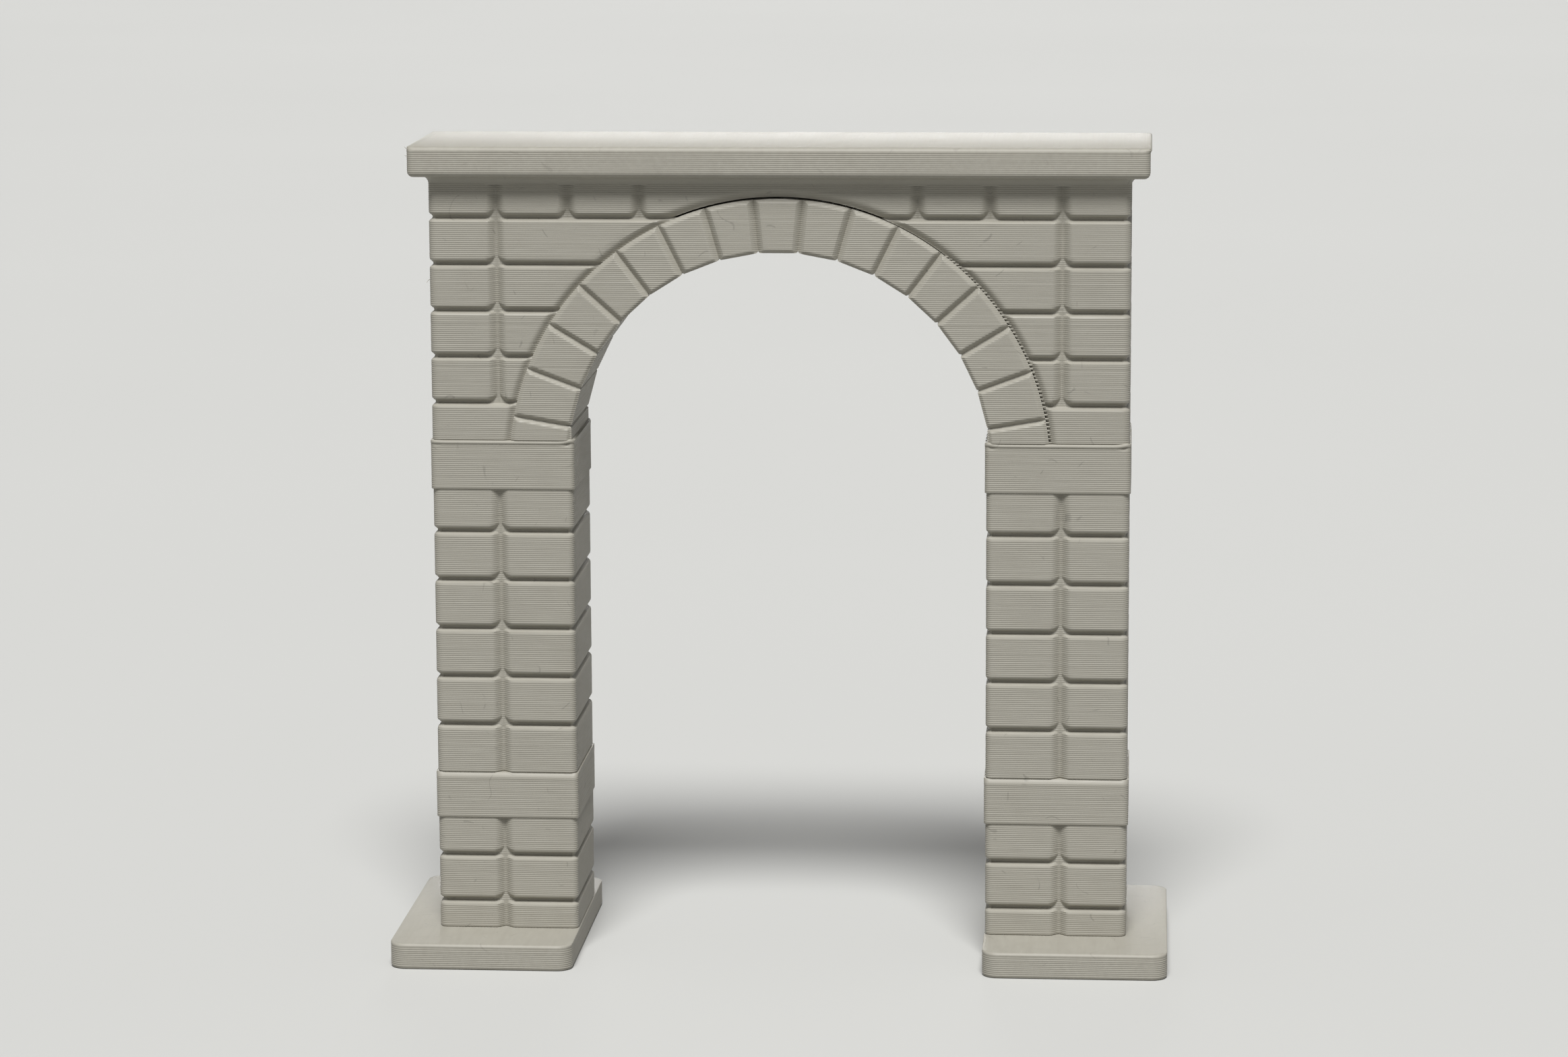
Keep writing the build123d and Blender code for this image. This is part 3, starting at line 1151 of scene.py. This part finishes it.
@dataclass
class JointStrands:
    """Short strands of plastic that bridge the joint behind the ring on the right."""

    plan: ArchPlan
    dresser: Dresser
    # Each layer has its own strand, too fine to show, so one is drawn for two layers.
    spacing: float = 0.56
    radius: float = 0.13
    length: float = 0.75
    first_angle: float = 38.0
    last_angle: float = 84.0
    sunk: float = 0.32
    facets: int = 8
    curve_points: int = 80
    # Smallest and largest share of its thickness and length that a strand gets.
    least: Triple = (0.6, 0.6, 0.75)
    most: Triple = (1.25, 1.25, 1.2)
    seed: int = 3

    def tree(self) -> tuple[bpy.types.NodeTree, dict[str, str]]:
        """Builds the tree that lays a strand at each step along a curve.

        Returns:
            The tree, and the identifier of each of its inputs by name.
        """
        tree = bpy.data.node_groups.new("strands_along_joint", "GeometryNodeTree")
        face = tree.interface
        face.new_socket("Geometry", in_out="INPUT", socket_type="NodeSocketGeometry")
        kinds = dict(Spacing="Float", Radius="Float", Length="Float", Seed="Int", Material="Material")
        names = {
            name: face.new_socket(name, in_out="INPUT", socket_type=f"NodeSocket{kind}").identifier
            for name, kind in kinds.items()
        }
        face.new_socket("Geometry", in_out="OUTPUT", socket_type="NodeSocketGeometry")
        source = add_node(tree, "NodeGroupInput").outputs
        links = {"Curve": source["Geometry"], "Length": source["Spacing"]}
        steps = add_node(tree, "GeometryNodeResampleCurve", links, mode="LENGTH")
        links = {"Vertices": self.facets, "Radius": source["Radius"], "Depth": source["Length"]}
        strand = add_node(tree, "GeometryNodeMeshCylinder", {"Side Segments": 1, **links})
        links = {0: self.least, 1: self.most, "Seed": source["Seed"]}
        size = add_node(tree, "FunctionNodeRandomValue", links, data_type="FLOAT_VECTOR")
        links = {
            "Points": steps.outputs["Curve"],
            "Instance": strand.outputs["Mesh"],
            "Rotation": (0.0, math.radians(90.0), 0.0),
            "Scale": size.outputs[0],
        }
        laid = add_node(tree, "GeometryNodeInstanceOnPoints", links)
        real = add_node(tree, "GeometryNodeRealizeInstances", {"Geometry": laid.outputs["Instances"]})
        links = {"Geometry": real.outputs["Geometry"], "Material": source["Material"]}
        dressed = add_node(tree, "GeometryNodeSetMaterial", links)
        add_node(tree, "NodeGroupOutput", {"Geometry": dressed.outputs["Geometry"]})
        return tree, names

    def build(self) -> None:
        """Builds the strands at the front and the back."""
        plan = self.plan
        radius = plan.extrados + plan.open_joint / 2
        curve = bpy.data.curves.new("joint_strands", "CURVE")
        curve.dimensions = "3D"
        for y in (-plan.wall_depth / 2 + self.sunk, plan.wall_depth / 2 - self.sunk):
            angles = np.radians(np.linspace(self.first_angle, self.last_angle, self.curve_points))
            spline = curve.splines.new("POLY")
            spline.points.add(len(angles) - 1)
            for point, angle in zip(spline.points, angles):
                x, z = radius * math.sin(angle), plan.back_centre + radius * math.cos(angle)
                point.co = (x * MM, y * MM, z * MM, 1.0)
        path = new_object("joint_strands_path", curve)
        tree, names = self.tree()
        nodes = path.modifiers.new("strands", "NODES")
        nodes.node_group = tree
        sizes = {"Spacing": self.spacing * MM, "Radius": self.radius * MM, "Length": self.length * MM}
        for name, value in {**sizes, "Seed": self.seed, "Material": self.dresser.material}.items():
            nodes[names[name]] = value
        view = bpy.context.evaluated_depsgraph_get()
        mesh = bpy.data.meshes.new_from_object(path.evaluated_get(view), depsgraph=view)
        bpy.data.objects.remove(path)
        mesh.name = "joint_strands"
        mesh.shade_smooth()
        self.dresser.dress(new_object("joint_strands", mesh))


@dataclass
class StrayHairs:
    """Fine hairs that the nozzle drew out as it left the wall."""

    dresser: Dresser
    # A real hair is about 0.03 mm thick, far under a pixel, so it is drawn thicker.
    thickness: float = 0.05
    taper: float = 0.6
    steps: int = 9
    facets: int = 6
    runs: tuple[tuple[Triple, ...], ...] = (
        ((-51.3, -12.5, 115.7), (-51.8, -12.6, 115.9), (-52.0, -12.6, 116.2)),
        ((-51.4, -12.4, 114.9), (-51.8, -12.5, 114.8), (-52.0, -12.5, 115.0)),
        ((-49.0, -9.6, 97.4), (-49.4, -9.8, 97.2), (-49.6, -9.9, 96.8)),
        ((51.5, -12.4, 115.9), (51.8, -12.5, 116.1), (51.9, -12.5, 116.3)),
    )

    def build(self) -> None:
        """Builds the hairs as one mesh of thin tubes."""
        skin = Skin()
        for run in self.runs:
            a, b, c = (np.array(p) for p in run)
            rings = []
            for t in np.linspace(0.0, 1.0, self.steps):
                spot = (1 - t) ** 2 * a + 2 * t * (1 - t) * b + t**2 * c
                way = 2 * (1 - t) * (b - a) + 2 * t * (c - b)
                way = way / np.linalg.norm(way)
                side = np.cross(way, (0.0, 1.0, 0.0))
                side = side / np.linalg.norm(side)
                up = np.cross(side, way)
                turn = np.linspace(0.0, 2 * np.pi, self.facets, endpoint=False)
                thick = self.thickness * (1.0 - self.taper * t)
                rings.append(spot + thick * (np.cos(turn)[:, None] * side + np.sin(turn)[:, None] * up))
            skin.loft(rings)
        self.dresser.dress(skin.build("stray_hairs", merge=True))


@dataclass
class Studio:
    """Floor, soft lights and the camera at the photograph's angle."""

    eye: Triple = (51.08, -659.75, 174.72)
    yaw: float = 4.436
    pitch: float = 9.796
    roll: float = -0.256
    focal_px: float = 6955.9
    width_px: float = 2327.0
    sensor: float = 36.0
    clip_m: Pair = (0.01, 50.0)
    air: float = 0.2
    floor_half: float = 9.0e3
    floor_levels: Pair = (-20.0, -0.02)

    def camera(self) -> None:
        """Makes the camera."""
        yaw, pitch, roll = (math.radians(a) for a in (self.yaw, self.pitch, self.roll))
        ahead = Vector((-math.sin(yaw) * math.cos(pitch), math.cos(yaw) * math.cos(pitch), -math.sin(pitch)))
        right = Vector((math.cos(yaw), math.sin(yaw), 0.0))
        up = right.cross(ahead)
        across = math.cos(roll) * right + math.sin(roll) * up
        upright = -math.sin(roll) * right + math.cos(roll) * up
        data = bpy.data.cameras.new("camera")
        data.sensor_width = self.sensor
        data.lens = self.sensor * self.focal_px / self.width_px
        data.clip_start, data.clip_end = self.clip_m
        camera = new_object("camera", data)
        turn = Matrix((across, upright, -ahead)).transposed().to_4x4()
        camera.matrix_world = Matrix.Translation(Vector(self.eye) * MM) @ turn
        bpy.context.scene.camera = camera

    def light(self, name: str, towards: Triple, spread_deg: float, strength: float) -> None:
        """Makes a broad soft light, even over the whole floor.

        Args:
            name: Its name.
            towards: Direction from the arch to the light.
            spread_deg: Angle across which the light comes.
            strength: Its strength.
        """
        data = bpy.data.lights.new(name, "SUN")
        data.energy, data.angle = strength, math.radians(spread_deg)
        lamp = new_object(name, data)
        lamp.location = Vector(towards)
        lamp.rotation_euler = (-Vector(towards)).to_track_quat("-Z", "Y").to_euler()

    def build(self) -> None:
        """Makes the whole studio."""
        scene = bpy.context.scene
        scene.view_settings.view_transform = "Standard"
        world = bpy.data.worlds.new("studio_air")
        scene.world = world
        world.use_nodes = True
        sky = world.node_tree.nodes["Background"]
        sky.inputs["Color"].default_value = linear("FFFFFF")
        sky.inputs["Strength"].default_value = self.air
        self.light("overhead", towards=(0.02, -0.6, 1.0), spread_deg=22.0, strength=3.6)
        self.light("back_rim", towards=(-0.06, 1.0, 0.08), spread_deg=14.0, strength=0.5)
        corners = self.floor_half * np.array([(-1, -1), (1, -1), (1, 1), (-1, 1)])
        floor = Skin().loft([np.insert(corners, 2, z, axis=1) for z in self.floor_levels])
        ground = floor.build("studio_floor")
        ground.data.materials.append(PalePaper().material())
        self.camera()


def slabs(lines: PrintLines, dresser: Dresser) -> None:
    """Builds the coping and the two foot plates, in the boxes of their nodes.

    Args:
        lines: The print lines.
        dresser: Gives the pieces their finish.
    """
    for node, corner, soffit, rim, lips in (
        ("coping", 0.9, 0.85, 0.7, (-0.06, 0.2)),
        ("left_base_plate", 2.2, 0.4, 0.45, (0.0, 0.0)),
        ("right_base_plate", 2.2, 0.4, 0.45, (0.0, 0.0)),
    ):
        low, high = (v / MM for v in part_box(node))
        Slab(lines, dresser, node, low, high, corner, soffit, rim, lips).build()


def main() -> None:
    """Builds every piece in order."""
    logging.basicConfig(level=logging.INFO, format="%(name)s %(message)s")
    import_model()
    plan, lines = ArchPlan(), PrintLines()
    dresser = Dresser(PrintedPlastic().material())
    # The last layer of a slab is speckled, its lines broken up and running to the back.
    speckled = PrintedPlastic(
        "printed_polylactide_slab",
        roughness=(0.51, 0.56),
        streak_mm=(0.7, 5.0, 0.56),
        blotch_mm=3.0,
        scuff="928E84",
    )
    slabs(PrintLines(proud=0.0), Dresser(speckled.material()))
    for side in Side:
        Pier(plan, lines, dresser, side).build()
        Spandrel(plan, lines, dresser, side).build()
    ArchRing(plan, lines, dresser).build()
    CrownStone(plan, lines, dresser).build()
    CoveMoulding(plan, lines, dresser).build()
    JointStrands(plan, dresser).build()
    StrayHairs(dresser).build()
    Studio().build()


if __name__ == "__main__":
    main()
